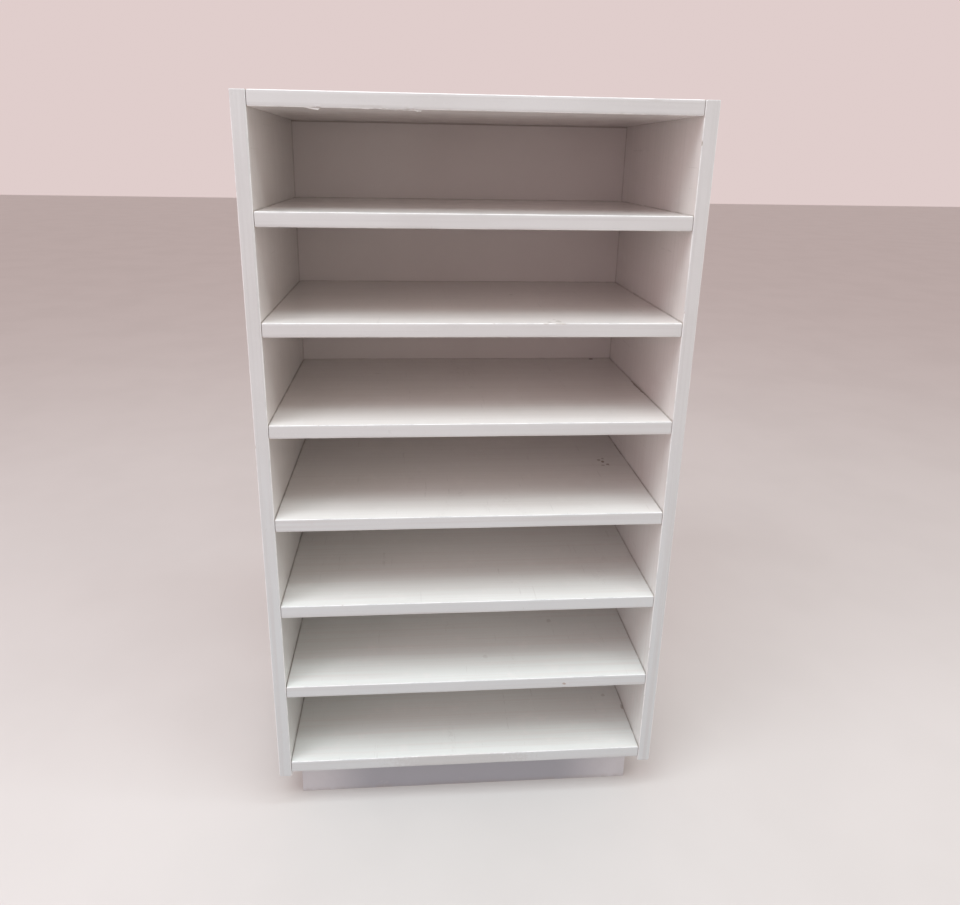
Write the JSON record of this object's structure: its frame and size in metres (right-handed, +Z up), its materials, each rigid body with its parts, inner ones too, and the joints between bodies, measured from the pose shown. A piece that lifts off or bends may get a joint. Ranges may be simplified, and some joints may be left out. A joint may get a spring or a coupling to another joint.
{
  "type": "open tiered shelf unit",
  "caption": "Free-standing open cabinet with shallow stacked tiers between two side panels, a thin grooved-in back and a recessed plinth, for sorting and storing small goods.",
  "frame": {"origin": "on the floor plane, under the middle of the unit's width and depth", "axes": "+Z up, +X to the right seen from the front, and the open front faces -Y"},
  "size_m": [0.5024, 0.3, 0.9],
  "materials": {
    "white_board": "particle board faced in warm white melamine, satin, with fine scuffs and dust in the corners",
    "edge_strip": "white plastic edge strip, satin, rounded, with small chips and rubbed marks",
    "back_board": "thin fibreboard lacquered warm white on the inside face, raw brown behind",
    "plinth_board": "particle board faced in cooler white melamine, satin",
    "beech_wood": "raw beech",
    "zinc_steel": "bright zinc plated steel",
    "cap_plastic": "moulded white plastic, semi-matt"
  },
  "bodies": {
    "root": {"side_panel_left": "white_board", "side_panel_right": "white_board", "top_panel": "white_board", "bottom_panel": "white_board", "shelf_1": "white_board", "shelf_2": "white_board", "shelf_3": "white_board", "shelf_4": "white_board", "shelf_5": "white_board", "shelf_6": "white_board", "back_panel": "back_board", "plinth_front": "plinth_board", "plinth_back": "plinth_board", "plinth_left": "plinth_board", "plinth_right": "plinth_board", "plinth_corner_blocks": "beech_wood", "edge_band_side_left": "edge_strip", "edge_band_side_right": "edge_strip", "edge_band_top": "edge_strip", "edge_band_bottom": "edge_strip", "edge_band_shelf_1": "edge_strip", "edge_band_shelf_2": "edge_strip", "edge_band_shelf_3": "edge_strip", "edge_band_shelf_4": "edge_strip", "edge_band_shelf_5": "edge_strip", "edge_band_shelf_6": "edge_strip", "end_band_left": "edge_strip", "end_band_right": "edge_strip", "shelf_screws_left": "zinc_steel", "shelf_screws_right": "zinc_steel", "back_panel_screws": "zinc_steel", "plinth_screws": "zinc_steel", "screw_caps_left": "cap_plastic", "screw_caps_right": "cap_plastic", "dowels_left": "beech_wood", "dowels_right": "beech_wood"}
  },
  "joints": []
}
